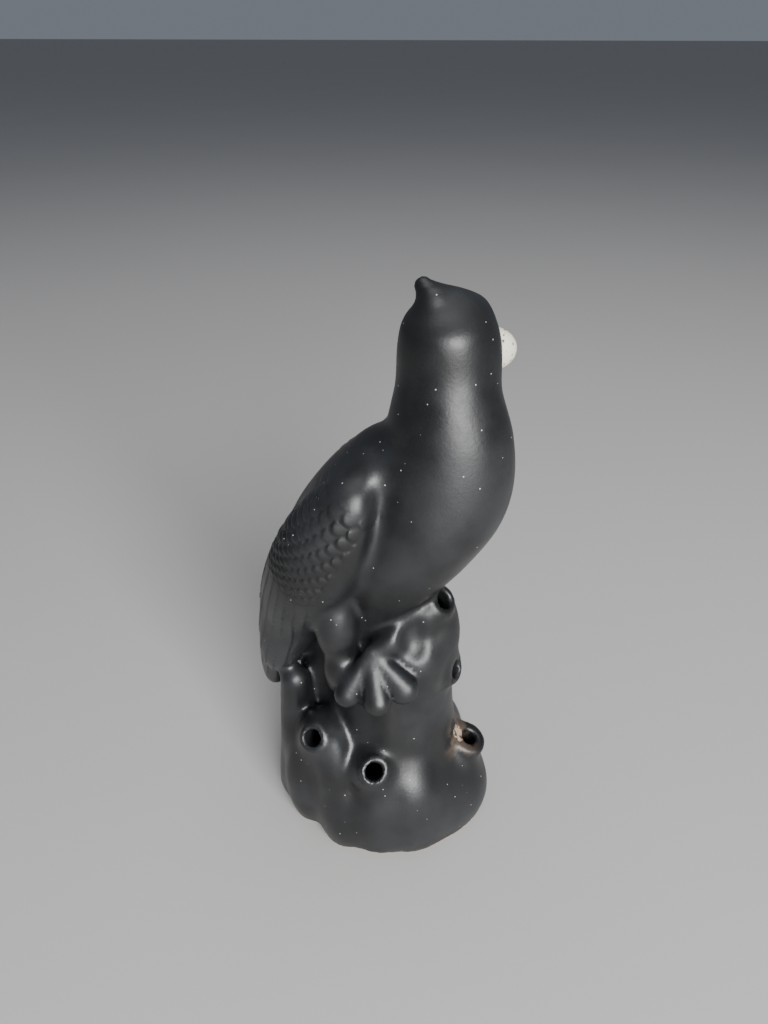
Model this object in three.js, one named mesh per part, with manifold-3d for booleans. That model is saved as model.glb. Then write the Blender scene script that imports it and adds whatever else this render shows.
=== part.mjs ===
// Ceramic bird figurine: a perched bird on a lumpy rock, slip-cast as one hollow piece.
// Short open tubes in the rock take flower stems, and all of them lead into the hollow inside.
// Millimetres, +Z up. The origin is the middle of the flat underside.
// The bird's body faces +X, and its left side is +Y.

import * as THREE from "three";
import { mergeVertices } from "three/addons/utils/BufferGeometryUtils.js";
import { LoftGeometry } from "three/addons/geometries/LoftGeometry.js";
import { edgeTable, triTable } from "three/addons/objects/MarchingCubes.js";
import Module from "manifold-3d";

const wasm = await Module();
wasm.setup();

// Driving dimensions
const HEIGHT = 210; // underside to the tip of the crest
const ROCK_LENGTH = 81; // widest part of the rock, along X
const ROCK_WIDTH = 60; // widest part of the rock, along Y
const WALL = 4; // thickness of the cast wall
const FLOOR_THICKNESS = 5; // clay between the hollow and the table
const BORE_DIAMETER = 6.4; // clear hole of a flower tube
const RIM_WALL = 1.8; // clay round the mouth of a tube
const WIDE_RIM_WALL = 3.9; // the same for the one fat tube
const ROOT_FLARE = 2.4; // how much wider a tube is where it leaves the rock
const HEAD_TURN = 45; // degrees that the head looks to the bird's left
const COVERT_LENGTH = 4.8; // pitch of the small wing feathers along the wing
const COVERT_WIDTH = 4.8; // pitch of the small wing feathers across it
const COVERT_RELIEF = 0.7; // how far the tip of a feather stands above its root
const FLIGHT_RELIEF = 0.9; // depth of the grooves between the long feathers

// Facet sizes
const SKIN_FACET = 5.7;
const HOLLOW_FACET = 9.5;
const TUBE_SIDES = 12;
const SMALL_SIDES = 10;

// Free forms are drawn in hundredths of the figure's height
const SHARE = HEIGHT / 100;

// Neck, breast and belly: height, back, front, middle across, half width
const BREAST_ROWS = [
  [39.0, -4.8, 1.4, 0, 4.3],
  [43.8, -5.7, 2.9, 0, 6.2],
  [48.6, -7.1, 6.2, 0, 7.9],
  [53.3, -7.6, 10.0, 0, 9.5],
  [59.0, -6.2, 14.0, 0, 11.0],
  [65.2, -3.8, 17.4, 0, 11.0],
  [71.4, -1.9, 18.6, 0, 10.0],
  [78.6, -0.5, 17.9, 0, 8.6],
  [84.8, 0.7, 15.8, 0.5, 7.4],
  [89.0, 1.4, 14.7, 1.0, 6.7],
  [93.3, 1.9, 13.6, 1.0, 6.2],
  [95.7, 2.4, 12.9, 1.0, 5.2],
];

// Mantle, rump and tail, in the same order
const MANTLE_ROWS = [
  [24.3, -22.0, -20.0, 0, 2.4],
  [27.1, -22.6, -18.5, 0, 3.3],
  [32.4, -22.5, -15.7, 0, 5.0],
  [38.1, -21.8, -11.9, 0, 6.7],
  [43.8, -20.7, -7.1, 0, 8.8],
  [50.0, -19.3, -3.4, 0, 11.0],
  [57.1, -17.6, -1.0, 0, 12.2],
  [64.3, -14.7, 0.5, 0, 12.0],
  [70.5, -10.5, 2.4, 0, 10.6],
  [74.8, -6.4, 4.3, 0, 7.9],
  [78.6, -2.4, 5.7, 0, 4.3],
];

// Rock: height, back, front, middle across, half width
const ROCK_ROWS = [
  [-2.9, -19.0, 17.6, 0, 13.8],
  [0, -19.5, 18.1, 0, 14.3],
  [4.8, -20.0, 18.6, 0, 14.8],
  [10.5, -19.0, 17.0, 0, 14.3],
  [16.2, -15.7, 13.3, 0, 13.3],
  [22.9, -11.9, 11.9, 0, 11.4],
  [29.5, -10.0, 11.4, 0, 10.0],
  [36.2, -9.5, 11.4, 0, 9.0],
  [41.9, -8.6, 11.0, 0, 7.6],
  [46.7, -5.7, 8.6, 0, 5.7],
  [50.5, -1.9, 6.2, 0, 3.8],
];

// Lumps of the rock: middle, radii, degrees turned about Z
const ROCK_LUMPS = [
  { at: [-12.8, -9.3, 9.5], radii: [4.3, 4.8, 11.4], turn: 15 },
  { at: [-6.7, -11.7, 12.9], radii: [3.8, 4.3, 11.9], turn: 15 },
  { at: [-4.6, -11.7, 4.8], radii: [4.8, 5.2, 9.0], turn: 15 },
  { at: [5.6, -8.8, 7.2], radii: [7.6, 6.7, 11.8], turn: 15 },
  { at: [13.4, 0.7, 4.8], radii: [5.2, 5.7, 7.4], turn: 15 },
  { at: [0.9, -11.8, 6.0], radii: [4.6, 4.8, 10.5], turn: 15 },
  { at: [5.6, -4.5, 37.6], radii: [4.8, 4.5, 6.7], turn: 15 },
  { at: [7.9, 0.9, 41.9], radii: [3.8, 4.6, 8.1], turn: 15 },
  { at: [-11.4, 1.2, 22.9], radii: [5.7, 4.8, 16.2], turn: 15 },
  { at: [-12.4, 9.5, 9.5], radii: [5.7, 4.8, 12.4], turn: -20 },
  { at: [-2.9, 11.4, 11.4], radii: [5.2, 4.3, 13.3], turn: 0 },
  { at: [6.2, 9.8, 7.6], radii: [6.2, 4.8, 10.0], turn: 20 },
  { at: [4.8, 7.1, 36.2], radii: [5.7, 3.8, 8.1], turn: 10 },
  { at: [-9.6, -9.8, 20.5], radii: [3.6, 4.3, 6.7], turn: 15 },
  { at: [1.0, -10.2, 16.2], radii: [4.3, 4.3, 5.7], turn: 15 },
];

// Thighs, ledges, ribs and the web behind the tail, which are solid clay, in the same terms
const SOLID_LUMPS = [
  { at: [-6.4, -8.9, 46.6], radii: [3.5, 3.6, 6.6], turn: 15 },
  { at: [-5.2, -9.9, 38.8], radii: [3.1, 2.7, 2.7], turn: 15 },
  { at: [-1.8, -7.9, 35.6], radii: [6.7, 4.3, 4.3], turn: 15 },
  { at: [-12.6, 0.5, 39.5], radii: [5.2, 3.8, 6.7], turn: 0 },
  { at: [2.3, -8.7, 26.7], radii: [1.9, 2.4, 7.1], turn: 15 },
  { at: [-4.8, 8.6, 41.9], radii: [4.8, 3.8, 10.0], turn: -15 },
  { at: [4.2, -5.8, 45.7], radii: [7.0, 2.6, 2.6], turn: 39, lean: -29 },
];

// The branch stub that carries the tail
const BRANCH = { from: [-16.2, -5.5, 3.8], to: [-15.5, -6.3, 30.5], radii: [3.8, 2.5] };

// Flower tubes: middle of the mouth, way out, length from mouth to rock, clay round the mouth
const TUBES = [
  { mouth: [9.4, -1.7, 49.5], way: [0.72, -0.23, 0.64], length: 6.2, rim: RIM_WALL },
  { mouth: [12.1, -1.6, 35.1], way: [0.9, -0.25, 0.35], length: 4.8, rim: RIM_WALL },
  { mouth: [15.2, 0.9, 17.0], way: [0.39, -0.05, 0.92], length: 6.7, rim: WIDE_RIM_WALL },
  { mouth: [1.3, -14.9, 20.7], way: [0.36, -0.72, 0.6], length: 3.3, rim: RIM_WALL },
  { mouth: [-9.9, -14.0, 24.8], way: [-0.05, -0.8, 0.6], length: 3.8, rim: RIM_WALL },
  { mouth: [-2.9, 14.8, 19.0], way: [0, 1, 0], length: 4.3, rim: RIM_WALL },
  { mouth: [1.9, 12.8, 32.4], way: [0, 1, 0], length: 3.8, rim: RIM_WALL },
];

// Each foot: where the toes meet, then the tip of each toe with its radius
const FOOT = {
  root: [-0.5, -9.9, 42.9],
  rootRadius: 1.8,
  toes: [
    { tip: [-3.5, -12.9, 36.2], radius: 2.1 },
    { tip: [1.5, -12.9, 35.7], radius: 2.1 },
    { tip: [4.9, -10.6, 37.2], radius: 2.3 },
  ],
};

// Beak sections from the face to the tip: forward, up, half width, half height
const BEAK_SECTIONS = [
  [4.8, -0.4, 2.6, 2.9],
  [7.6, -0.5, 2.5, 2.7],
  [9.4, -0.7, 1.9, 2.1],
  [10.5, -1.1, 1.0, 1.3],
  [10.9, -1.4, 0.3, 0.4],
];

const CREST = { root: [-0.5, 0.6, 5.2], tip: [-3.5, 1.9, 8.8], radii: [3.2, 1.2] };
const HEAD = { at: [8.0, 2.3, 90.0], radii: [7.0, 6.3, 8.1], lean: -8 };
const WING = { at: [-9.4, 8.6, 58.8], radii: [6.7, 4.6, 15.5], turn: 18, lean: 27, roll: 4 };
const SMOOTH_EDGE = 0.35; // share of the wing's half width along its front edge
const WING_INSET = 0.7; // how far the soft form that joins a wing to the back lies below its feathers
const COVERT_SHARE = 0.6; // share of the wing's length that the small feathers cover
const FLIGHT_FEATHERS = { at: [-15.6, 5.6, 46.7], radii: [4.6, 3.2, 15.2], lean: 13 };
const TAIL = { at: [-20.9, 0, 33.3], radii: [2.5, 3.8, 9.5], lean: 5 };

// Reach of the soft joints between forms
const HEAD_JOINT = 2.4;
const MANTLE_JOINT = 2.4;
const WING_JOINT = 2.9;
const LUMP_JOINT = 2.4;
const PERCH_JOINT = 1.4;

const vector = (values) => new THREE.Vector3(...values);

// Signed distance fields: negative inside, in hundredths of the height

function soften(a, b, reach) {
  const share = THREE.MathUtils.clamp(0.5 + (0.5 * (b - a)) / reach, 0, 1);
  return THREE.MathUtils.lerp(b, a, share) - reach * share * (1 - share);
}

function turned({ turn = 0, lean = 0, roll = 0 }) {
  const radians = THREE.MathUtils.degToRad;
  const aboutZ = new THREE.Quaternion().setFromAxisAngle(vector([0, 0, 1]), radians(turn));
  const aboutY = new THREE.Quaternion().setFromAxisAngle(vector([0, 1, 0]), radians(lean));
  const aboutX = new THREE.Quaternion().setFromAxisAngle(vector([1, 0, 0]), radians(roll));
  return aboutZ.multiply(aboutY).multiply(aboutX);
}

function ellipsoid(form) {
  const middle = vector(form.at);
  const radii = vector(form.radii);
  const back = turned(form).invert();
  const local = new THREE.Vector3();
  return (point) => {
    local.copy(point).sub(middle).applyQuaternion(back).divide(radii);
    const near = local.length() + 1e-9;
    const slope = local.divide(radii).length() + 1e-9;
    return (near * (near - 1)) / slope;
  };
}

function roundCone({ from, to, radii }) {
  const start = vector(from);
  const way = vector(to).sub(start);
  const local = new THREE.Vector3();
  return (point) => {
    local.copy(point).sub(start);
    const along = THREE.MathUtils.clamp(local.dot(way) / way.lengthSq(), 0, 1);
    return local.addScaledVector(way, -along).length() - THREE.MathUtils.lerp(radii[0], radii[1], along);
  };
}

// Hermite curve through one column of a list of rows
function column(rows, index) {
  const slope = (i) => {
    const before = Math.max(i - 1, 0);
    const after = Math.min(i + 1, rows.length - 1);
    return (rows[after][index] - rows[before][index]) / (rows[after][0] - rows[before][0]);
  };
  return (height) => {
    const z = THREE.MathUtils.clamp(height, rows[0][0], rows.at(-1)[0]);
    const i = Math.min(Math.max(rows.findIndex((row) => row[0] >= z) - 1, 0), rows.length - 2);
    const span = rows[i + 1][0] - rows[i][0];
    const t = (z - rows[i][0]) / span;
    const ease = t * t * (3 - 2 * t);
    const leave = t * (1 - t) * (1 - t) * span * slope(i);
    const arrive = t * t * (t - 1) * span * slope(i + 1);
    return THREE.MathUtils.lerp(rows[i][index], rows[i + 1][index], ease) + leave + arrive;
  };
}

// A mass given by oval slices, closed by rounded ends
function sliced(rows, stretch = [1, 1]) {
  const [backAt, frontAt, middleAt, halfAt] = [1, 2, 3, 4].map((index) => column(rows, index));
  const [lowest, highest] = [rows[0][0], rows.at(-1)[0]];
  const END_ROUNDING = 2.9;
  return (point) => {
    const back = backAt(point.z) * stretch[0];
    const front = frontAt(point.z) * stretch[0];
    const halfLength = (front - back) / 2;
    const halfWidth = halfAt(point.z) * stretch[1];
    const alongX = (point.x - (front + back) / 2) / halfLength;
    const alongY = (point.y - middleAt(point.z) * stretch[1]) / halfWidth;
    const side = (Math.hypot(alongX, alongY) - 1) * Math.min(halfLength, halfWidth);
    const end = Math.max(lowest - point.z, point.z - highest);
    return -soften(-side, -end, END_ROUNDING);
  };
}

const joined = (reach, forms) => (point) =>
  forms.map((form) => form(point)).reduce((all, next) => soften(all, next, reach));

// The rock keeps its own length and width, whatever the height
const widest = (rows, measure) => Math.max(...rows.map(measure));
const rockStretch = [
  ROCK_LENGTH / SHARE / widest(ROCK_ROWS, (row) => row[2] - row[1]),
  ROCK_WIDTH / SHARE / widest(ROCK_ROWS, (row) => 2 * row[4]),
];
const onRock = ([x, y, z]) => [x * rockStretch[0], y * rockStretch[1], z];

// Place on the head: forward, to its left and up, from the middle of the head
function onHead(forward, left, up) {
  const turn = THREE.MathUtils.degToRad(HEAD_TURN);
  const [x, y, z] = HEAD.at;
  return [
    x + forward * Math.cos(turn) - left * Math.sin(turn),
    y + forward * Math.sin(turn) + left * Math.cos(turn),
    z + up,
  ];
}

const breast = sliced(BREAST_ROWS);
const mantle = sliced(MANTLE_ROWS);
const head = ellipsoid({ ...HEAD, turn: HEAD_TURN });
const crown = roundCone({ from: onHead(3.1, 0, 4.8), to: onHead(-3.2, 0, 7.4), radii: [1.7, 1.7] });
const tail = ellipsoid(TAIL);
const wingForm = (side) => ({
  ...WING,
  at: onSide(WING.at, side),
  turn: side * WING.turn,
  roll: side * WING.roll,
});
const wings = [-1, 1].map((side) => {
  const wing = ellipsoid(wingForm(side));
  return (point) => wing(point) + WING_INSET;
});
const flightFeathers = [-1, 1].map((side) =>
  ellipsoid({ ...FLIGHT_FEATHERS, at: onSide(FLIGHT_FEATHERS.at, side) }));

function onSide([x, y, z], side) {
  return [x, side * Math.abs(y), z];
}

const skull = joined(HEAD_JOINT, [breast, head, crown]);
const back = joined(WING_JOINT, [mantle, ...wings, ...flightFeathers, tail]);
const bird = joined(MANTLE_JOINT, [skull, back]);

const rockMass = sliced(ROCK_ROWS, rockStretch);
const rockLumps = ROCK_LUMPS.map((lump) => ellipsoid({ ...lump, at: onRock(lump.at) }));
const solidLumps = SOLID_LUMPS.map((lump) => ellipsoid({ ...lump, at: onRock(lump.at) }));
const rock = joined(LUMP_JOINT, [rockMass, ...rockLumps, ...solidLumps]);
const skinField = joined(PERCH_JOINT, [bird, rock]);

// The hollow follows the main masses, one wall inside them
const mainMasses = joined(LUMP_JOINT, [breast, head, mantle, rockMass, ...rockLumps]);
const hollowField = (point) => mainMasses(point) + WALL / SHARE;

// Faceting a field

const CORNERS = [[0, 0, 0], [1, 0, 0], [1, 1, 0], [0, 1, 0], [0, 0, 1], [1, 0, 1], [1, 1, 1], [0, 1, 1]];
const EDGES = [[0, 1], [1, 2], [3, 2], [0, 3], [4, 5], [5, 6], [7, 6], [4, 7], [0, 4], [1, 5], [2, 6], [3, 7]];

// Lattice box in hundredths of the height: lowest and highest corners
const LATTICE = [vector([-27, -22, -8]), vector([25, 22, 103])];

function facet(field, facetSize) {
  const step = facetSize / SHARE;
  const counts = LATTICE[1].clone().sub(LATTICE[0]).divideScalar(step).ceil().toArray();
  const place = (cell) => vector(cell).multiplyScalar(step).add(LATTICE[0]);
  const number = ([i, j, k]) => (k * (counts[1] + 1) + j) * (counts[0] + 1) + i;
  const depths = new Map();
  const depthAt = (cell) => {
    const key = number(cell);
    if (!depths.has(key)) depths.set(key, field(place(cell)) || 1e-6);
    return depths.get(key);
  };
  const vertices = [];
  const triangles = [];
  const vertexOnEdge = new Map();
  const vertexFor = (a, b) => {
    const key = `${number(a)} ${number(b)}`;
    if (!vertexOnEdge.has(key)) {
      const share = depthAt(a) / (depthAt(a) - depthAt(b));
      vertexOnEdge.set(key, vertices.length);
      vertices.push(place(a).lerp(place(b), share));
    }
    return vertexOnEdge.get(key);
  };
  for (let k = 0; k < counts[2]; k += 1) {
    for (let j = 0; j < counts[1]; j += 1) {
      for (let i = 0; i < counts[0]; i += 1) {
        const cells = CORNERS.map(([x, y, z]) => [i + x, j + y, k + z]);
        const pattern = cells.reduce((bits, cell, n) => bits | (depthAt(cell) < 0 ? 1 << n : 0), 0);
        if (!edgeTable[pattern]) continue;
        for (let n = pattern * 16; triTable[n] !== -1; n += 3) {
          const corners = [0, 1, 2].map((m) => EDGES[triTable[n + m]].map((corner) => cells[corner]));
          triangles.push(corners.map(([a, b]) => vertexFor(a, b)));
        }
      }
    }
  }
  relax(vertices, triangles, field);
  return solidOf(vertices.map((vertex) => vertex.multiplyScalar(SHARE)), triangles);
}

// Evens out the facets and puts every corner back on the surface
function relax(vertices, triangles, field) {
  const ROUNDS = 6;
  const neighbours = vertices.map(() => new Set());
  for (const [a, b, c] of triangles) {
    neighbours[a].add(b).add(c);
    neighbours[b].add(a).add(c);
    neighbours[c].add(a).add(b);
  }
  for (let round = 0; round < ROUNDS; round += 1) {
    const middles = neighbours.map((near) =>
      [...near].reduce((sum, n) => sum.add(vertices[n]), new THREE.Vector3()).divideScalar(near.size));
    vertices.forEach((vertex, n) => {
      vertex.lerp(middles[n], 0.5);
      settle(vertex, field);
    });
  }
}

function settle(vertex, field) {
  const REACH = 0.05;
  const STEPS = 2;
  const probe = new THREE.Vector3();
  for (let step = 0; step < STEPS; step += 1) {
    const slope = new THREE.Vector3();
    for (const axis of ["x", "y", "z"]) {
      probe.copy(vertex)[axis] += REACH;
      slope[axis] = field(probe);
      probe[axis] -= 2 * REACH;
      slope[axis] = (slope[axis] - field(probe)) / (2 * REACH);
    }
    const steepness = Math.max(slope.lengthSq(), 0.1);
    vertex.addScaledVector(slope, -field(vertex) / steepness);
  }
}

// Solids

function solidOf(vertices, triangles) {
  const vertProperties = new Float32Array(vertices.flatMap((vertex) => vertex.toArray()));
  const triVerts = new Uint32Array(triangles.flat());
  const solid = new wasm.Manifold(new wasm.Mesh({ numProp: 3, vertProperties, triVerts }));
  if (solid.volume() > 0) return solid;
  const reversed = new Uint32Array(triangles.flatMap(([a, b, c]) => [a, c, b]));
  return new wasm.Manifold(new wasm.Mesh({ numProp: 3, vertProperties, triVerts: reversed }));
}

function solidFrom(source) {
  const bare = new THREE.BufferGeometry();
  bare.setAttribute("position", source.getAttribute("position"));
  bare.setIndex(source.getIndex());
  const merged = mergeVertices(bare, 1e-4);
  const position = merged.getAttribute("position");
  const vertices = Array.from({ length: position.count }, (_, n) =>
    new THREE.Vector3().fromBufferAttribute(position, n));
  const index = merged.getIndex().array;
  const triangles = [];
  for (let n = 0; n < index.length; n += 3) {
    const [a, b, c] = index.slice(n, n + 3);
    if (a !== b && b !== c && c !== a) triangles.push([a, b, c]);
  }
  return solidOf(vertices, triangles);
}

const inMillimetres = (values) => vector(values).multiplyScalar(SHARE);

// A turned solid whose profile lies along the given way, measured from the middle of the mouth
function turnedSolid(profile, mouth, way, sides) {
  const points = profile.map(([radius, along]) => new THREE.Vector2(radius, along));
  const lathe = new THREE.LatheGeometry(points, sides);
  const aim = new THREE.Quaternion().setFromUnitVectors(vector([0, 1, 0]), way);
  lathe.applyMatrix4(new THREE.Matrix4().compose(mouth, aim, vector([1, 1, 1])));
  return solidFrom(lathe);
}

const tubeAxis = (tube) => ({
  mouth: inMillimetres(onRock(tube.mouth)),
  way: vector(tube.way).normalize(),
  length: tube.length * SHARE,
});

function tubeSolid(tube) {
  const { mouth, way, length } = tubeAxis(tube);
  const outer = BORE_DIAMETER / 2 + tube.rim;
  const lip = RIM_WALL / 2;
  const root = outer + ROOT_FLARE;
  const profile = [
    [0, -length - root],
    [root / 2, -length - root / 2],
    [root, -length],
    [outer + ROOT_FLARE / 4, -length / 2],
    [outer, -lip],
    [outer - lip, 0],
    [0, 0],
  ];
  return turnedSolid(profile, mouth, way, TUBE_SIDES);
}

// A bore starts outside the mouth and runs on until it is well inside the hollow
function boreSolid(tube) {
  const { mouth, way } = tubeAxis(tube);
  const radius = BORE_DIAMETER / 2;
  const clearOfHollow = (depth) => {
    const point = mouth.clone().addScaledVector(way, -depth).divideScalar(SHARE);
    return hollowField(point) * SHARE > -radius;
  };
  let depth = radius;
  while (clearOfHollow(depth) && depth < ROCK_LENGTH / 2) depth += 1;
  const end = -depth - HOLLOW_FACET / 2;
  const beyond = RIM_WALL;
  const profile = [[0, end], [radius, end], [radius, beyond], [0, beyond]];
  return turnedSolid(profile, mouth, way, TUBE_SIDES);
}

// A finger tapers from one round end to the other; both ends are given in hundredths of the height
function fingerSolid(from, to, radii, sides) {
  const start = inMillimetres(from);
  const end = inMillimetres(to);
  const length = start.distanceTo(end);
  const [startRadius, endRadius] = radii.map((radius) => radius * SHARE);
  const round = Math.SQRT1_2;
  const profile = [
    [0, -length - startRadius],
    [startRadius * round, -length - startRadius * round],
    [startRadius, -length],
    [endRadius, 0],
    [endRadius * round, endRadius * round],
    [0, endRadius],
  ];
  return turnedSolid(profile, end, end.clone().sub(start).normalize(), sides);
}

function footSolids(flank) {
  const root = onSide(onRock(FOOT.root), flank);
  return FOOT.toes.map(({ tip, radius }) =>
    fingerSolid(root, onSide(onRock(tip), flank), [FOOT.rootRadius, radius], SMALL_SIDES));
}

const branchSolid = () =>
  fingerSolid(onRock(BRANCH.from), onRock(BRANCH.to), BRANCH.radii, TUBE_SIDES);

// Feather relief at a corner of the wing's net, in millimetres. Small feathers overlap in staggered rows,
// and beyond them the long flight feathers run to the tip of the wing.
function featherRelief(ring, side, share) {
  if (share > COVERT_SHARE) return side % 2 ? 0 : -FLIGHT_RELIEF;
  const onTip = ring % 2 === 0 && (side + ring / 2) % 2 === 0;
  return onTip ? COVERT_RELIEF : 0;
}

// The folded wing: an egg-shaped swelling with feathers on its back and a smooth front edge
function wingSolid(flank) {
  const form = wingForm(flank);
  const [halfWidth, halfDepth, halfLength] = WING.radii.map((radius) => radius * SHARE);
  const rings = 2 * Math.round((Math.PI * halfLength) / COVERT_LENGTH / 2);
  const sides = 4 * Math.round((Math.PI * (halfWidth + halfDepth)) / COVERT_WIDTH / 2);
  const sphere = new THREE.SphereGeometry(1, sides, rings);
  sphere.rotateX(Math.PI / 2);
  const position = sphere.getAttribute("position");
  const point = new THREE.Vector3();
  for (let n = 0; n < position.count; n += 1) {
    point.fromBufferAttribute(position, n);
    const ring = Math.floor(n / (sides + 1));
    const feathered = THREE.MathUtils.smoothstep(SMOOTH_EDGE - point.x, 0, SMOOTH_EDGE);
    const lift = featherRelief(ring, n % (sides + 1), ring / rings) * feathered;
    const outward = point.clone().setZ(0);
    point.set(point.x * halfWidth, point.y * halfDepth, point.z * halfLength);
    point.addScaledVector(outward, lift);
    point.applyQuaternion(turned(form)).add(inMillimetres(form.at));
    position.setXYZ(n, point.x, point.y, point.z);
  }
  return solidFrom(sphere);
}

// The beak is short and deep, and its tip bends down
function beakSolid() {
  const sections = BEAK_SECTIONS.map(([forward, up, halfWidth, halfHeight]) =>
    Array.from({ length: SMALL_SIDES }, (_, n) => {
      const angle = (2 * Math.PI * n) / SMALL_SIDES;
      const place = onHead(forward, halfWidth * Math.cos(angle), up + halfHeight * Math.sin(angle));
      return inMillimetres(place);
    }));
  return solidFrom(new LoftGeometry(sections, { closed: true, capStart: true, capEnd: true }));
}

// The crest leans back, and its tip is the highest point of the figure
const crestSolid = () =>
  fingerSolid(onHead(...CREST.root), onHead(...CREST.tip), CREST.radii, TUBE_SIDES);

function blockBelow(height) {
  const size = 4 * HEIGHT;
  const block = new THREE.BoxGeometry(size, size, size);
  block.translate(0, 0, height - size / 2);
  return solidFrom(block);
}

function birdFigurine() {
  const skin = facet(skinField, SKIN_FACET).subtract(blockBelow(0));
  const hollow = facet(hollowField, HOLLOW_FACET).subtract(blockBelow(FLOOR_THICKNESS));
  const raised = [
    ...TUBES.map(tubeSolid),
    beakSolid(),
    crestSolid(),
    branchSolid(),
    ...[-1, 1].flatMap(footSolids),
    ...[-1, 1].map(wingSolid),
  ];
  const whole = raised.reduce((body, piece) => body.add(piece), skin);
  return TUBES.map(boreSolid).reduce((body, bore) => body.subtract(bore), whole.subtract(hollow));
}

function meshOf(solid, name, material) {
  const { vertProperties, triVerts } = solid.getMesh();
  const geometry = new THREE.BufferGeometry();
  geometry.setAttribute("position", new THREE.BufferAttribute(new Float32Array(vertProperties), 3));
  geometry.setIndex(new THREE.BufferAttribute(new Uint32Array(triVerts), 1));
  const mesh = new THREE.Mesh(geometry, material);
  mesh.name = name;
  return mesh;
}

const blackGlaze = new THREE.MeshStandardMaterial({ color: 0x17191b, roughness: 0.35, metalness: 0 });

const figurine = new THREE.Group();
figurine.add(meshOf(birdFigurine(), "bird_figurine", blackGlaze));

export default figurine;
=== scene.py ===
# Looks of the ceramic bird figurine: a satin black bird on a lumpy rock with flower tubes.
# Metres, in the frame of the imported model: +Z up, the body faces +X, the bird's left is +Y.

import math

import bmesh
import bpy
import numpy as np
from mathutils import Matrix, Vector


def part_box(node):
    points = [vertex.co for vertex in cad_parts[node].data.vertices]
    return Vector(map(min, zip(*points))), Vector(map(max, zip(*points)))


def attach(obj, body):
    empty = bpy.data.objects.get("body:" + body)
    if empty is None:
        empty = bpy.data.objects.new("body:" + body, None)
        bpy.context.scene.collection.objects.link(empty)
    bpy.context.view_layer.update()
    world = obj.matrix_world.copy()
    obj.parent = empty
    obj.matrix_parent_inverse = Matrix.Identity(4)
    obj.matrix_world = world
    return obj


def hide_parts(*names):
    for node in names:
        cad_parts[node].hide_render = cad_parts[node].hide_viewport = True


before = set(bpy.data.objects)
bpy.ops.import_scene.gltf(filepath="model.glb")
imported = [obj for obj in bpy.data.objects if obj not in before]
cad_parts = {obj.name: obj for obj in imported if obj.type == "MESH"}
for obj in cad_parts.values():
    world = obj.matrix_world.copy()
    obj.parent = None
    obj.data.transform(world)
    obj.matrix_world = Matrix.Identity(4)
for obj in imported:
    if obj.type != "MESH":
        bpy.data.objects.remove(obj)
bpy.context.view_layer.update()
NODE = "bird_figurine"
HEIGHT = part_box(NODE)[1].z
MM = 0.001
SHARE = HEIGHT / 100  # free forms are drawn in hundredths of the height

# Sizes that don't follow the height
ROCK_LENGTH = 81 * MM
ROCK_WIDTH = 60 * MM
WALL = 4 * MM
FLOOR_THICKNESS = 5 * MM
BORE_RADIUS = 3.2 * MM
RIM_WALL = 1.8 * MM
WIDE_RIM_WALL = 3.9 * MM
ROOT_FLARE = 2.4 * MM
HEAD_TURN = 45
FINE_CELL = 1.42 * MM
FEATHER_CUTS = 2  # how often each edge of the net is cut under the feathers

# The photograph's view
VIEW_TURN = 15  # degrees about Z
VIEW_DOWN = 32  # degrees
CAMERA_AWAY = 213 * MM
CAMERA_ABOVE = 267 * MM
CAMERA_ASIDE = -1.7 * MM
FOCAL_PIXELS = 770
PICTURE_HEIGHT = 1024
SENSOR = 36.0

# Free forms, in hundredths of the height, places as forward, left and up

# Neck, breast and belly: height, back, front, middle across, half width
BREAST_ROWS = [
    (39.0, -4.8, 1.4, 0, 4.3),
    (43.8, -5.7, 2.9, 0, 6.2),
    (48.6, -7.1, 6.2, 0, 7.9),
    (53.3, -7.6, 10.0, 0, 9.5),
    (59.0, -6.2, 14.0, 0, 11.0),
    (65.2, -3.8, 17.4, 0, 11.0),
    (71.4, -1.9, 18.6, 0, 10.0),
    (78.6, -0.5, 17.9, 0, 8.6),
    (84.8, 0.7, 15.8, 0.5, 7.4),
    (89.0, 1.4, 14.7, 1.0, 6.7),
    (93.3, 1.9, 13.6, 1.0, 6.2),
    (95.7, 2.4, 12.9, 1.0, 5.2),
]

# Mantle, rump and tail, in the same order
MANTLE_ROWS = [
    (24.3, -22.0, -20.0, 0, 2.4),
    (27.1, -22.6, -18.5, 0, 3.3),
    (32.4, -22.5, -15.7, 0, 5.0),
    (38.1, -21.8, -11.9, 0, 6.7),
    (43.8, -20.7, -7.1, 0, 8.8),
    (50.0, -19.3, -3.4, 0, 11.0),
    (57.1, -17.6, -1.0, 0, 12.2),
    (64.3, -14.7, 0.5, 0, 12.0),
    (70.5, -10.5, 2.4, 0, 10.6),
    (74.8, -6.4, 4.3, 0, 7.9),
    (78.6, -2.4, 5.7, 0, 4.3),
]

ROCK_ROWS = [
    (-2.9, -19.0, 17.6, 0, 13.8),
    (0, -19.5, 18.1, 0, 14.3),
    (4.8, -20.0, 18.6, 0, 14.8),
    (10.5, -19.0, 17.0, 0, 14.3),
    (16.2, -15.7, 13.3, 0, 13.3),
    (22.9, -11.9, 11.9, 0, 11.4),
    (29.5, -10.0, 11.4, 0, 10.0),
    (36.2, -9.5, 11.4, 0, 9.0),
    (41.9, -8.6, 11.0, 0, 7.6),
    (46.7, -5.7, 8.6, 0, 5.7),
    (50.5, -1.9, 6.2, 0, 3.8),
]

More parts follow.
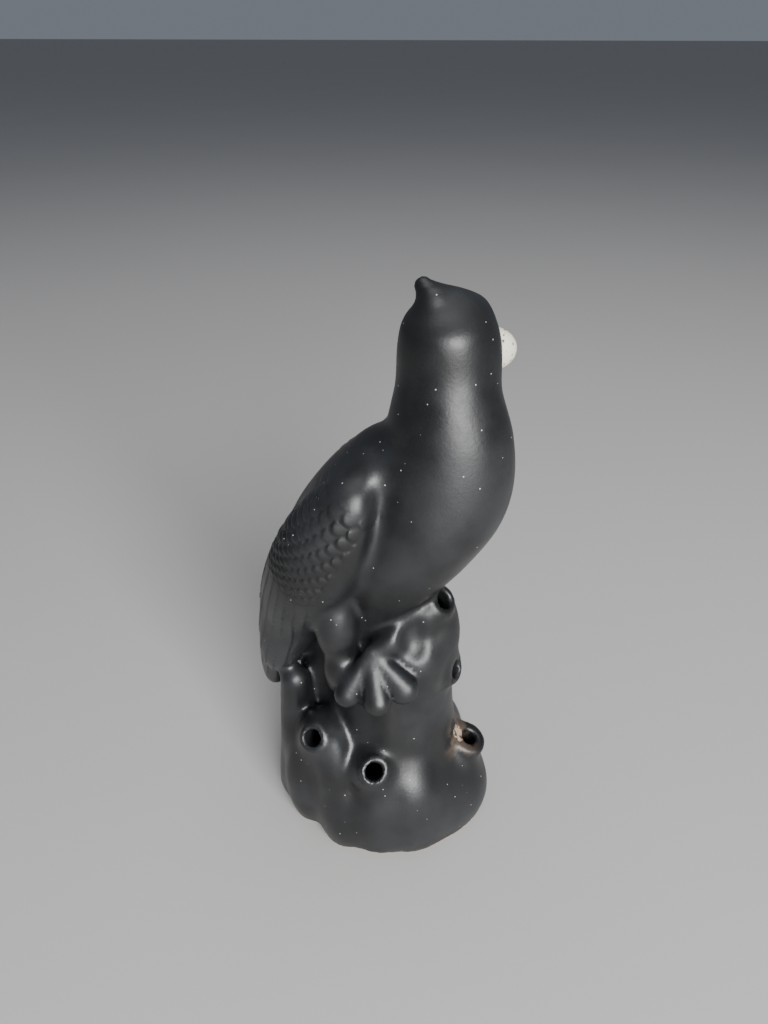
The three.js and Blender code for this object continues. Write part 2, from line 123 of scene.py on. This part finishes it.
# Lumps of the rock: middle, radii, degrees turned about Z
ROCK_LUMPS = [
    ((-12.8, -9.3, 9.5), (4.3, 4.8, 11.4), 15),
    ((-6.7, -11.7, 12.9), (3.8, 4.3, 11.9), 15),
    ((-4.6, -11.7, 4.8), (4.8, 5.2, 9.0), 15),
    ((5.6, -8.8, 7.2), (7.6, 6.7, 11.8), 15),
    ((13.4, 0.7, 4.8), (5.2, 5.7, 7.4), 15),
    ((0.9, -11.8, 6.0), (4.6, 4.8, 10.5), 15),
    ((5.6, -4.5, 37.6), (4.8, 4.5, 6.7), 15),
    ((7.9, 0.9, 41.9), (3.8, 4.6, 8.1), 15),
    ((-11.4, 1.2, 22.9), (5.7, 4.8, 16.2), 15),
    ((-12.4, 9.5, 9.5), (5.7, 4.8, 12.4), -20),
    ((-2.9, 11.4, 11.4), (5.2, 4.3, 13.3), 0),
    ((6.2, 9.8, 7.6), (6.2, 4.8, 10.0), 20),
    ((4.8, 7.1, 36.2), (5.7, 3.8, 8.1), 10),
    ((-9.6, -9.8, 20.5), (3.6, 4.3, 6.7), 15),
    ((1.0, -10.2, 16.2), (4.3, 4.3, 5.7), 15),
]

# Thighs, ledges and ribs, which are solid clay
SOLID_LUMPS = [
    ((-6.4, -8.9, 46.6), (3.5, 3.6, 6.6), 15),
    ((-5.2, -9.9, 38.8), (3.1, 2.7, 2.7), 15),
    ((-1.8, -7.9, 35.6), (6.7, 4.3, 4.3), 15),
    ((-12.6, 0.5, 39.5), (5.2, 3.8, 6.7), 0),
    ((2.3, -8.7, 26.7), (1.9, 2.4, 7.1), 15),
    ((-4.8, 8.6, 41.9), (4.8, 3.8, 10.0), -15),
]

# Flower tubes: middle of the mouth, way out, length from mouth to rock, clay round the mouth in metres
TUBES = [
    ((9.4, -1.7, 49.5), (0.72, -0.23, 0.64), 6.2, RIM_WALL),
    ((12.1, -1.6, 35.1), (0.9, -0.25, 0.35), 4.8, RIM_WALL),
    ((15.2, 0.9, 17.0), (0.39, -0.05, 0.92), 6.7, WIDE_RIM_WALL),
    ((1.3, -14.9, 20.7), (0.36, -0.72, 0.6), 3.3, RIM_WALL),
    ((-9.9, -14.0, 24.8), (-0.05, -0.8, 0.6), 3.8, RIM_WALL),
    ((-2.9, 14.8, 19.0), (0, 1, 0), 4.3, RIM_WALL),
    ((1.9, 12.8, 32.4), (0, 1, 0), 3.8, RIM_WALL),
]

# The stub of a branch behind: foot, top and their radii
BRANCH = ((-16.2, -5.5, 3.8), (-15.5, -6.3, 30.5), 3.8, 2.5)

# The near foot: the ankle, then each toe's tip and radius
FOOT_ROOT = (-0.5, -9.9, 42.9)
TOES = [((-3.5, -13.3, 36.2), 2.2), ((1.5, -13.4, 35.7), 2.2), ((5.0, -10.8, 37.2), 2.6)]
FOOT_ROOT_RADIUS = 1.1
TOE_FLATNESS = 1.3  # how much thinner than wide a toe is

# The ridge from the foot up to the topmost tube, and the dent beside it
RIDGE = ((4.2, -5.8, 45.7), (7.0, 2.6, 2.6), 39, -29)
DENT = ((6.6, -8.4, 46.2), (2.6, 2.7, 4.3), 15)

# The head: middle, radii, lean. Crest and crown: root and tip on the head, and their radii
HEAD = ((8.0, 2.3, 90.0), (7.0, 6.3, 8.1), -8)
CREST = ((-0.5, 0.6, 5.2), (-3.5, 1.9, 8.8), 3.2, 1.2)
CROWN = ((3.1, 0, 4.8), (-3.2, 0, 7.4), 1.7, 1.7)
BEAK = ((6.3, -0.4, -0.9), (4.6, 2.8, 3.2), 12)

# Wings and tail: middle and radii, then turn, lean and roll, or the lean alone
WING = ((-9.4, 8.6, 58.8), (6.7, 4.6, 15.5), 18, 27, 4)
FLIGHT = ((-15.6, 5.6, 46.7), (4.6, 3.2, 15.2), 13)
TAIL = ((-20.9, 0, 33.3), (2.5, 3.8, 9.5), 5)

# Reach of the soft joints between forms
HEAD_JOINT = 2.4
BODY_JOINT = 1.0
MANTLE_JOINT = 2.4
WING_JOINT = 2.9
LUMP_JOINT = 2.4
PERCH_JOINT = 1.4
TUBE_JOINT = 2.2
TOE_JOINT = 0.4
FOOT_JOINT = 1.0
BEAK_JOINT = 0.2
END_ROUNDING = 2.9
MOUTH_ROUNDING = 0.35
BORE_PAST_MOUTH = 2  # how far a bore runs out through its mouth

# How far along a bore the hollow is looked for
BORE_SEARCH = (1.5, 20, 0.25)


# Signed distance fields over arrays of points, in hundredths of the height


def soften(a, b, reach):
    share = np.clip(0.5 + 0.5 * (b - a) / reach, 0, 1)
    return b + (a - b) * share - reach * share * (1 - share)


def carve(a, b, reach):
    """The solid a without the solid b, with a rounded edge."""
    return -soften(-a, b, reach)


def about_z(points, degrees):
    c, s = math.cos(math.radians(degrees)), math.sin(math.radians(degrees))
    x, y, z = points.T
    return np.stack([c * x + s * y, c * y - s * x, z], 1)


def about_y(points, degrees):
    c, s = math.cos(math.radians(degrees)), math.sin(math.radians(degrees))
    x, y, z = points.T
    return np.stack([c * x - s * z, y, s * x + c * z], 1)


def about_x(points, degrees):
    c, s = math.cos(math.radians(degrees)), math.sin(math.radians(degrees))
    x, y, z = points.T
    return np.stack([x, c * y + s * z, c * z - s * y], 1)


def into_form(points, middle, turn=0, lean=0, roll=0):
    local = points - np.array(middle, points.dtype)
    return about_x(about_y(about_z(local, turn), lean), roll)


def ellipsoid(points, middle, radii, turn=0, lean=0, roll=0):
    local = into_form(points, middle, turn, lean, roll) / np.array(radii, points.dtype)
    near = np.linalg.norm(local, axis=1) + 1e-6
    slope = np.linalg.norm(local / np.array(radii, points.dtype), axis=1) + 1e-6
    return near * (near - 1) / slope


def round_cone(points, start, end, start_radius, end_radius):
    start, end = np.array(start, points.dtype), np.array(end, points.dtype)
    way = end - start
    local = points - start
    along = np.clip(local @ way / (way @ way), 0, 1)
    radius = start_radius + (end_radius - start_radius) * along
    return np.linalg.norm(local - along[:, None] * way, axis=1) - radius


def column(rows, index, z):
    """One measure of the rows at any height, on a smooth curve through them."""
    heights = np.array([row[0] for row in rows], float)
    values = np.array([row[index] for row in rows], float)
    numbers = np.arange(len(rows))
    first = np.maximum(numbers - 1, 0)
    last = np.minimum(numbers + 1, len(rows) - 1)
    slopes = (values[last] - values[first]) / (heights[last] - heights[first])
    z = np.clip(z, heights[0], heights[-1])
    i = np.clip(np.searchsorted(heights, z) - 1, 0, len(rows) - 2)
    span = heights[i + 1] - heights[i]
    t = (z - heights[i]) / span
    ease = t * t * (3 - 2 * t)
    leave = t * (1 - t) ** 2 * span * slopes[i]
    arrive = t * t * (t - 1) * span * slopes[i + 1]
    return values[i] + (values[i + 1] - values[i]) * ease + leave + arrive


def sliced(points, rows, stretch=(1, 1)):
    x, y, z = points.T
    back = column(rows, 1, z) * stretch[0]
    front = column(rows, 2, z) * stretch[0]
    middle = column(rows, 3, z) * stretch[1]
    half_width = column(rows, 4, z) * stretch[1]
    half_length = (front - back) / 2
    around = np.hypot((x - (front + back) / 2) / half_length, (y - middle) / half_width)
    side = (around - 1) * np.minimum(half_length, half_width)
    end = np.maximum(rows[0][0] - z, z - rows[-1][0])
    return -soften(-side, -end, END_ROUNDING)


def joined(reach, fields):
    total = fields[0]
    for field in fields[1:]:
        total = soften(total, field, reach)
    return total


ROCK_STRETCH = (
    ROCK_LENGTH / SHARE / max(row[2] - row[1] for row in ROCK_ROWS),
    ROCK_WIDTH / SHARE / max(2 * row[4] for row in ROCK_ROWS),
)


def on_rock(place):
    return place[0] * ROCK_STRETCH[0], place[1] * ROCK_STRETCH[1], place[2]


def on_head(place):
    forward, left, up = place
    c, s = math.cos(math.radians(HEAD_TURN)), math.sin(math.radians(HEAD_TURN))
    x, y, z = HEAD[0]
    return x + forward * c - left * s, y + forward * s + left * c, z + up


def on_side(place, side):
    return place[0], side * abs(place[1]), place[2]


# The masses, as in the construction


def rock_mass(points):
    return sliced(points, ROCK_ROWS, ROCK_STRETCH)


def lumps(points, rows):
    return [ellipsoid(points, on_rock(middle), radii, turn) for middle, radii, turn in rows]


def wing_mass(points, side):
    middle, radii, turn, lean, roll = WING
    return ellipsoid(points, on_side(middle, side), radii, side * turn, lean, side * roll)


def head_mass(points):
    return ellipsoid(points, HEAD[0], HEAD[1], HEAD_TURN, HEAD[2])


def head_finger(points, form):
    root, tip, root_radius, tip_radius = form
    return round_cone(points, on_head(root), on_head(tip), root_radius, tip_radius)


def beak_mass(points):
    middle, radii, lean = BEAK
    return ellipsoid(points, on_head(middle), radii, HEAD_TURN, lean)


def bird_mass(points):
    front = [sliced(points, BREAST_ROWS), head_mass(points), head_finger(points, CROWN)]
    skull = joined(HEAD_JOINT, front)
    skull = soften(skull, head_finger(points, CREST), BODY_JOINT)
    back = sliced(points, MANTLE_ROWS)
    middle, radii, lean = FLIGHT
    for side in (-1, 1):
        back = soften(back, wing_mass(points, side), WING_JOINT)
        back = soften(back, ellipsoid(points, on_side(middle, side), radii, 0, lean), WING_JOINT)
    back = soften(back, ellipsoid(points, TAIL[0], TAIL[1], 0, TAIL[2]), WING_JOINT)
    return soften(skull, back, MANTLE_JOINT)


def toe(points, side, tip, radius):
    """A wedge that widens from the ankle to its round end, flattened against the rock."""
    root = np.array(on_side(on_rock(FOOT_ROOT), side))
    end = np.array(on_side(on_rock(tip), side)) - root
    slant = math.radians(VIEW_TURN)
    outward = np.array([math.sin(slant), side * math.cos(slant), 0])
    outward -= (outward @ end) / (end @ end) * end
    outward /= np.linalg.norm(outward)
    local = points - root
    local = local + (local @ outward)[:, None] * outward * (TOE_FLATNESS - 1)
    return round_cone(local, (0, 0, 0), end, FOOT_ROOT_RADIUS, radius)


def foot(points, side):
    return joined(TOE_JOINT, [toe(points, side, tip, radius) for tip, radius in TOES])


# Feathers, as heights above the plain form

SCALE_START = (-5.6, 74.0)  # along X and Z, at the front of the shoulder
SCALE_DIP = 17  # degrees that the feathers' tips point below level
SCALE_LENGTH = 3.8 * MM
SCALE_WIDTH = 5.2 * MM
SCALE_SHRINK = 0.0165 / MM  # how fast the feathers get smaller towards the back
SCALE_RELIEF = 0.85 * MM
QUILL_PITCH = 3.6 * MM
QUILL_RELIEF = 0.35 * MM
QUILL_SLANT = 0.12
SCALE_SIZES = (0.35, 1.4)  # the smallest and largest, as shares of the first row's
TIP_REACH = 1.75  # how far a feather's middle reaches, in rows
TIP_ROUND = 0.75  # how much further its middle reaches than its sides
TIP_BLUR = 0.22
VANE_HUMP = 0.3  # how much higher its middle is than its sides

# Where the feathers start and fade out, in shares of the wing's radii
WING_OUT = (-0.9, -0.2)
WING_FRONT = 0.74
WING_FRONT_BLUR = 0.12
COVERTS_LOW = (-0.38, -0.2)
COVERTS_TOP = 0.95
COVERTS_TOP_BLUR = 0.25
FLIGHTS_TOP = -0.3
FLIGHTS_TOP_BLUR = 0.15


def smooth_step(value, low, high):
    t = np.clip((value - low) / (high - low), 0, 1)
    return t * t * (3 - 2 * t)


def scale_height(points):
    """Overlapping rounded feathers in staggered rows, from 0 at a root to about 1 at a tip."""
    dip = math.radians(SCALE_DIP)
    back = (SCALE_START[0] - points[:, 0]) * SHARE
    down = (SCALE_START[1] - points[:, 2]) * SHARE
    along = back * math.cos(dip) + down * math.sin(dip)
    across = down * math.cos(dip) - back * math.sin(dip)
    size = np.clip(1 - SCALE_SHRINK * along, *SCALE_SIZES)
    row = -np.log(size) / (SCALE_SHRINK * SCALE_LENGTH)
    column_place = across / (SCALE_WIDTH * size)
    height = np.zeros(len(points))
    taken = np.zeros(len(points))
    for above in (1, 0):
        number = np.floor(row) - above
        reach = row - number
        place = column_place - 0.5 * (number % 2)
        place = place - np.round(place)
        tip = TIP_REACH - TIP_ROUND + TIP_ROUND * np.sqrt(np.maximum(1 - (2 * place) ** 2, 0))
        cover = smooth_step(tip - reach, 0, TIP_BLUR) * (1 - taken)
        own = reach / TIP_REACH + VANE_HUMP * (1 - (2 * place) ** 2)
        height += cover * own
        taken += cover
    return height


def wing_place(points, side):
    """Places on a wing as forward, out and up, in shares of its radii."""
    middle, radii, turn, lean, roll = WING
    local = into_form(points, on_side(middle, side), side * turn, lean, side * roll)
    return local[:, 0] / radii[0], side * local[:, 1] / radii[1], local[:, 2] / radii[2]


def feathered(points, side):
    """Where the feathers lie on one wing: the small ones, then the long ones."""
    forward, out, up = wing_place(points, side)
    on_wing = smooth_step(out, *WING_OUT) * smooth_step(WING_FRONT - forward, 0, WING_FRONT_BLUR)
    coverts = on_wing * smooth_step(up, *COVERTS_LOW)
    coverts = coverts * smooth_step(COVERTS_TOP - up, 0, COVERTS_TOP_BLUR)
    flights = on_wing * smooth_step(FLIGHTS_TOP - up, 0, FLIGHTS_TOP_BLUR)
    return coverts, flights


def feather_relief(points):
    """Feather tips are level with the smooth front edge, and their roots lie below it."""
    total = np.zeros(len(points))
    for side in (-1, 1):
        coverts, flights = feathered(points, side)
        total += coverts * (scale_height(points) - 1) * SCALE_RELIEF / SHARE
        forward, _, up = wing_place(points, side)
        quill = (forward * WING[1][0] + QUILL_SLANT * up * WING[1][2]) * SHARE / QUILL_PITCH
        ridge = (quill - np.floor(quill)) ** 2
        total += flights * (ridge - 0.5) * QUILL_RELIEF / SHARE
    return total


def rock_form(points):
    start, end, low_radius, high_radius = BRANCH
    forms = [rock_mass(points), *lumps(points, ROCK_LUMPS), *lumps(points, SOLID_LUMPS)]
    forms.append(round_cone(points, on_rock(start), on_rock(end), low_radius, high_radius))
    forms.append(ellipsoid(points, on_rock(RIDGE[0]), *RIDGE[1:]))
    return joined(LUMP_JOINT, forms)


def hollow_form(points):
    masses = [sliced(points, BREAST_ROWS), head_mass(points), sliced(points, MANTLE_ROWS)]
    masses += [rock_mass(points), *lumps(points, ROCK_LUMPS)]
    inside = joined(LUMP_JOINT, masses) + WALL / SHARE
    return np.maximum(inside, FLOOR_THICKNESS / SHARE - points[:, 2])


def tube_frame(points, tube):
    """Distance from the tube's axis, and height above its mouth."""
    mouth, way = tube[:2]
    mouth = np.array(on_rock(mouth))
    way = np.array(way) / np.linalg.norm(way)
    local = points - mouth
    along = local @ way
    return np.linalg.norm(local - along[:, None] * way, axis=1), along


def tube_outside(points, tube):
    away, along = tube_frame(points, tube)
    length, rim = tube[2:]
    outer = (BORE_RADIUS + rim) / SHARE
    flare = ROOT_FLARE / SHARE * np.clip(-along / length, 0, 1) ** 2
    wall = away - outer - flare
    end = np.maximum(along, -along - length - outer)
    return -soften(-wall, -end, RIM_WALL / SHARE)


def tube_bore(points, tube, depth):
    away, along = tube_frame(points, tube)
    end = np.maximum(along - BORE_PAST_MOUTH, -along - depth)
    return np.maximum(away - BORE_RADIUS / SHARE, end)


def bore_depth(tube):
    """How far a bore runs before it is well inside the hollow."""
    mouth, way = tube[:2]
    mouth = np.array(on_rock(mouth))
    way = np.array(way) / np.linalg.norm(way)
    depths = np.arange(*BORE_SEARCH)
    inside = hollow_form(mouth - depths[:, None] * way) < -BORE_RADIUS / SHARE
    return depths[np.argmax(inside)] if inside.any() else depths[-1]


BORE_DEPTHS = [bore_depth(tube) for tube in TUBES]


def outer_form(points):
    skin = soften(bird_mass(points), rock_form(points), PERCH_JOINT)
    skin = carve(skin, ellipsoid(points, on_rock(DENT[0]), DENT[1], DENT[2]), PERCH_JOINT)
    for tube in TUBES:
        skin = soften(skin, tube_outside(points, tube), TUBE_JOINT)
    for side in (-1, 1):
        skin = soften(skin, foot(points, side), FOOT_JOINT)
    return soften(skin, beak_mass(points), BEAK_JOINT)


def figure(points):
    return outer_form(points) - feather_relief(points)


def plain_figure(points):
    whole = np.maximum(outer_form(points), -hollow_form(points))
    for tube, depth in zip(TUBES, BORE_DEPTHS):
        whole = carve(whole, tube_bore(points, tube, depth), MOUTH_ROUNDING)
    return np.maximum(whole, -points[:, 2])


# Surface nets over a lattice: one corner in each cell that the surface crosses

NET_LOW = (-25.0, -17.0, -1.03)
NET_HIGH = (21.0, 17.0, 101.0)
NET_PARTS = 24  # the lattice is measured in this many parts, to save memory
SLOPE_STEP = 0.06
LEAST_STEEPNESS = 0.2
LONGEST_MOVE = 0.3
SETTLE_ROUNDS = 2


def lattice(low, high, cell):
    counts = np.ceil((high - low) / cell).astype(int) + 1
    axes = [low[a] + cell * np.arange(counts[a]) for a in range(3)]
    grid = np.stack(np.meshgrid(*axes, indexing="ij"), -1).reshape(-1, 3)
    return counts, grid.astype(np.float32)


def crossing_corners(values, cell):
    """Mean crossing place of every crossed cell, in cells from the lattice's corner."""
    shape = np.array(values.shape) - 1
    total = np.zeros((*shape, 3), np.float32)
    count = np.zeros(shape, np.float32)
    for axis in range(3):
        others = [a for a in range(3) if a != axis]
        for u in (0, 1):
            for v in (0, 1):
                low = [slice(0, n) for n in shape]
                low[others[0]] = slice(u, u + shape[others[0]])
                low[others[1]] = slice(v, v + shape[others[1]])
                high = list(low)
                high[axis] = slice(1, shape[axis] + 1)
                a, b = values[tuple(low)], values[tuple(high)]
                crossed = (a < 0) != (b < 0)
                share = np.where(crossed, a / np.where(crossed, a - b, 1), 0)
                count += crossed
                total[..., axis] += share
                total[..., others[0]] += crossed * u
                total[..., others[1]] += crossed * v
    used = count > 0
    offsets = total[used] / count[used][:, None]
    return used, np.argwhere(used) + offsets


def crossing_faces(values, used):
    number = np.full(used.shape, -1)
    number[used] = np.arange(used.sum())
    faces = []
    for axis in range(3):
        others = [a for a in range(3) if a != axis]
        inner = [slice(1, n) for n in used.shape]
        inner[axis] = slice(0, used.shape[axis])
        after = list(inner)
        after[axis] = slice(1, used.shape[axis] + 1)
        a, b = values[tuple(inner)], values[tuple(after)]
        for rising in (True, False):
            crossed = (a < 0) & (b >= 0) if rising else (a >= 0) & (b < 0)
            cells = np.argwhere(crossed) + [0 if k == axis else 1 for k in range(3)]
            steps = [(0, 0), (1, 0), (1, 1), (0, 1)]
            if rising == (axis == 1):
                steps = steps[::-1]
            ring = []
            for u, v in steps:
                place = cells.copy()
                place[:, others[0]] -= u
                place[:, others[1]] -= v
                ring.append(number[tuple(place.T)])
            faces.append(np.stack(ring, 1))
    return np.concatenate(faces)


def settle(vertices, field):
    """Puts the corners back on the surface."""
    slope = np.zeros_like(vertices)
    for axis in range(3):
        step = np.zeros(3)
        step[axis] = SLOPE_STEP
        slope[:, axis] = (field(vertices + step) - field(vertices - step)) / (2 * SLOPE_STEP)
    steepness = np.maximum((slope**2).sum(1), LEAST_STEEPNESS)
    for _ in range(SETTLE_ROUNDS):
        move = -(field(vertices) / steepness)[:, None] * slope
        vertices = vertices + np.clip(move, -LONGEST_MOVE, LONGEST_MOVE)
    return vertices


def surface(field, cell):
    low, high = np.array(NET_LOW), np.array(NET_HIGH)
    counts, grid = lattice(low, high, cell)
    values = np.concatenate([field(part) for part in np.array_split(grid, NET_PARTS)])
    values = values.reshape(counts)
    used, corners = crossing_corners(values, cell)
    faces = crossing_faces(values, used)
    vertices = settle(low + corners * cell, field)
    vertices[:, 2] = np.maximum(vertices[:, 2], 0)
    return vertices * SHARE, faces


def mesh_object(name, vertices, faces):
    mesh = bpy.data.meshes.new(name)
    mesh.vertices.add(len(vertices))
    mesh.vertices.foreach_set("co", vertices.astype(np.float32).ravel())
    mesh.loops.add(faces.size)
    mesh.loops.foreach_set("vertex_index", faces.astype(np.int32).ravel())
    mesh.polygons.add(len(faces))
    mesh.polygons.foreach_set("loop_start", np.arange(0, faces.size, 4, dtype=np.int32))
    mesh.polygons.foreach_set("loop_total", np.full(len(faces), 4, np.int32))
    mesh.update(calc_edges=True)
    mesh.validate()
    mesh.shade_smooth()
    made = bpy.data.objects.new(name, mesh)
    bpy.context.scene.collection.objects.link(made)
    return made


class Nodes:
    """A short way to write a material's nodes."""

    def __init__(self, name):
        self.material = bpy.data.materials.new(name)
        self.material.use_nodes = True
        self.tree = self.material.node_tree
        self.shader = self.tree.nodes["Principled BSDF"]

    def set(self, node, key, value):
        if isinstance(value, bpy.types.NodeSocket):
            self.tree.links.new(value, node.inputs[key])
        else:
            node.inputs[key].default_value = value

    def add(self, kind, values=None, **settings):
        node = self.tree.nodes.new("ShaderNode" + kind)
        for key, value in settings.items():
            setattr(node, key, value)
        for key, value in (values or {}).items():
            self.set(node, key, value)
        return node

    def place(self):
        return self.add("TexCoord").outputs["Object"]

    def noise(self, scale, detail=3, roughness=0.55):
        values = {"Vector": self.place(), "Scale": scale, "Detail": detail, "Roughness": roughness}
        return self.add("TexNoise", values).outputs["Fac"]

    def ramp(self, value, low, high, start=0.0, end=1.0):
        values = {"Value": value, "From Min": low, "From Max": high, "To Min": start, "To Max": end}
        return self.add("MapRange", values, interpolation_type="SMOOTHSTEP").outputs["Result"]

    def math(self, operation, a, b=0.0):
        return self.add("Math", {0: a, 1: b}, operation=operation).outputs[0]

    def mix(self, share, a, b):
        node = self.add("Mix", {0: share}, data_type="RGBA")
        self.set(node, 6, a)
        self.set(node, 7, b)
        return node.outputs[2]

    def near(self, middle, radius, blur):
        """1 inside a ball round a place in metres, 0 outside it."""
        away = self.add("VectorMath", {0: self.place(), 1: middle}, operation="DISTANCE").outputs["Value"]
        return self.ramp(away, radius - blur, radius + blur, 1.0, 0.0)


BLACK = (0.004, 0.0044, 0.005, 1)
GREY_BLOOM = (0.012, 0.0135, 0.015, 1)
WORN_BROWN = (0.11, 0.075, 0.05, 1)
IVORY = (0.72, 0.68, 0.56, 1)
BARE_CLAY = (0.42, 0.31, 0.22, 1)
DUST = (0.6, 0.6, 0.58, 1)

# The chip on the wide tube's rim with worn glaze round it, and the painted beak
CHIP_PLACE = (12.9, -0.2, 18.2)
CHIP_RADIUS = 3.2 * MM
CHIP_BLUR = 0.6 * MM
WEAR_RADIUS = 8 * MM
WEAR_BLUR = 4 * MM
WEAR_SHARE = 0.6
PAINT_PLACE = (8.2, -0.4, -0.2)  # on the head
PAINT_RADIUS = 4.2
PAINT_BLUR = 0.12
UNDERSIDE = (0.3 * MM, 0.9 * MM)  # bare clay below the first, glaze above the second


def glaze_material():
    n = Nodes("black_glaze")
    bloom = n.ramp(n.noise(38, 4), 0.42, 0.66)
    colour = n.mix(bloom, BLACK, GREY_BLOOM)
    chip_place = Vector(on_rock(CHIP_PLACE)) * SHARE
    worn_area = n.near(chip_place, WEAR_RADIUS, WEAR_BLUR)
    wear = n.math("MULTIPLY", worn_area, n.ramp(n.noise(150), 0.45, 0.6))
    colour = n.mix(n.math("MULTIPLY", wear, WEAR_SHARE), colour, WORN_BROWN)
    specks = n.add("TexVoronoi", {"Vector": n.place(), "Scale": 230}).outputs["Distance"]
    colour = n.mix(n.ramp(specks, 0.035, 0.06, 0.7, 0), colour, DUST)
    chipped_area = n.near(chip_place, CHIP_RADIUS, CHIP_BLUR)
    chips = n.math("MULTIPLY", chipped_area, n.ramp(n.noise(420), 0.46, 0.5))
    height = n.add("SeparateXYZ", {"Vector": n.place()}).outputs["Z"]
    underside = n.ramp(height, *UNDERSIDE, 1, 0)
    colour = n.mix(n.math("MAXIMUM", chips, underside), colour, BARE_CLAY)
    beak_place = Vector(on_head(PAINT_PLACE)) * SHARE
    beak = n.near(beak_place, PAINT_RADIUS * SHARE, PAINT_BLUR * SHARE)
    ivory = n.mix(n.ramp(n.noise(700), 0.6, 0.68), IVORY, WORN_BROWN)
    colour = n.mix(beak, colour, ivory)
    roughness = n.ramp(n.noise(60, 4), 0.3, 0.7, 0.36, 0.5)
    bump = n.add("Bump", {"Strength": 0.12, "Distance": 0.0004, "Height": n.noise(900, 2)})
    n.set(n.shader, "Base Color", colour)
    n.set(n.shader, "Roughness", roughness)
    n.set(n.shader, "Normal", bump.outputs["Normal"])
    n.set(n.shader, "IOR", 1.55)
    return n.material


# Where the net is cut finer, and where its corners are raised, as strengths of the feathers
CUT_FROM = 0.02
RAISE_FROM = 0.001


def corners_of(mesh):
    return np.array([corner.co for corner in mesh.verts]) / SHARE


def feather_strength(points):
    return sum(sum(feathered(points, side)) for side in (-1, 1))


def cut_feathers(bird):
    """Cuts the net finer under the feathers and raises them."""
    mesh = bmesh.new()
    mesh.from_mesh(bird.data)
    points = corners_of(mesh)
    outside = outer_form(points) > -WALL / SHARE / 2
    zone = outside & (feather_strength(points) > CUT_FROM)
    edges = [edge for edge in mesh.edges if all(zone[corner.index] for corner in edge.verts)]
    bmesh.ops.subdivide_edges(mesh, edges=edges, cuts=FEATHER_CUTS, use_grid_fill=True)
    mesh.verts.ensure_lookup_table()
    points = corners_of(mesh)
    near = np.abs(outer_form(points)) < WALL / SHARE / 2
    moved = np.flatnonzero(near & (feather_strength(points) > RAISE_FROM))
    for index, place in zip(moved, settle(points[moved], figure) * SHARE):
        mesh.verts[index].co = place
    mesh.to_mesh(bird.data)
    mesh.free()
    bird.data.shade_smooth()


def make_figure():
    cell = FINE_CELL / SHARE
    vertices, faces = surface(plain_figure, cell)
    bird = mesh_object("ceramic_bird", vertices, faces)
    cut_feathers(bird)
    bird.data.materials.append(glaze_material())
    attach(bird, "root")
    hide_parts(NODE)


FLOOR_SIZE = 60
FLOOR_GREYS = (0.42, 0.41, 0.40, 1), (0.45, 0.44, 0.43, 1)

# Lamps: place to the right, away and up, then size in metres and power in watts
WINDOW = ((0.42, -1.1, 0.62), (0.7, 0.7), 40)
SKY = ((0.0, 0.1, 1.3), (1.0, 1.0), 6)
LAMP_AIM = (0, 0, 0.1)
ROOM_COLOUR = (0.75, 0.82, 0.95, 1)
ROOM_STRENGTH = 0.22


def make_floor():
    bpy.ops.mesh.primitive_plane_add(size=FLOOR_SIZE, location=(0, 0, 0))
    floor = bpy.context.object
    floor.name = "floor"
    n = Nodes("floor")
    n.set(n.shader, "Base Color", n.mix(n.noise(3), *FLOOR_GREYS))
    n.set(n.shader, "Roughness", 0.85)
    floor.data.materials.append(n.material)


def view_axes():
    a = math.radians(VIEW_TURN)
    right = Vector((math.cos(a), math.sin(a), 0))
    away = Vector((-math.sin(a), math.cos(a), 0))
    return right, away, Vector((0, 0, 1))


def make_camera():
    right, away, up = view_axes()
    down = math.radians(VIEW_DOWN)
    looking = away * math.cos(down) - up * math.sin(down)
    camera = bpy.data.objects.new("camera", bpy.data.cameras.new("camera"))
    bpy.context.scene.collection.objects.link(camera)
    camera.location = right * CAMERA_ASIDE - away * CAMERA_AWAY + up * CAMERA_ABOVE
    camera.rotation_euler = looking.to_track_quat("-Z", "Y").to_euler()
    camera.data.sensor_width = SENSOR
    camera.data.lens = FOCAL_PIXELS / PICTURE_HEIGHT * SENSOR
    camera.data.clip_start = 0.01
    bpy.context.scene.camera = camera


def soft_light(name, place, size, power):
    light = bpy.data.lights.new(name, "AREA")
    light.shape = "RECTANGLE"
    light.size, light.size_y = size
    light.energy = power
    lamp = bpy.data.objects.new(name, light)
    right, away, up = view_axes()
    lamp.location = right * place[0] + away * place[1] + up * place[2]
    lamp.rotation_euler = (Vector(LAMP_AIM) - lamp.location).to_track_quat("-Z", "Y").to_euler()
    bpy.context.scene.collection.objects.link(lamp)


def make_lights():
    world = bpy.data.worlds.new("studio")
    bpy.context.scene.world = world
    world.use_nodes = True
    background = world.node_tree.nodes["Background"]
    background.inputs["Color"].default_value = ROOM_COLOUR
    background.inputs["Strength"].default_value = ROOM_STRENGTH
    soft_light("window", *WINDOW)
    soft_light("sky", *SKY)


make_camera()
make_floor()
make_lights()
make_figure()
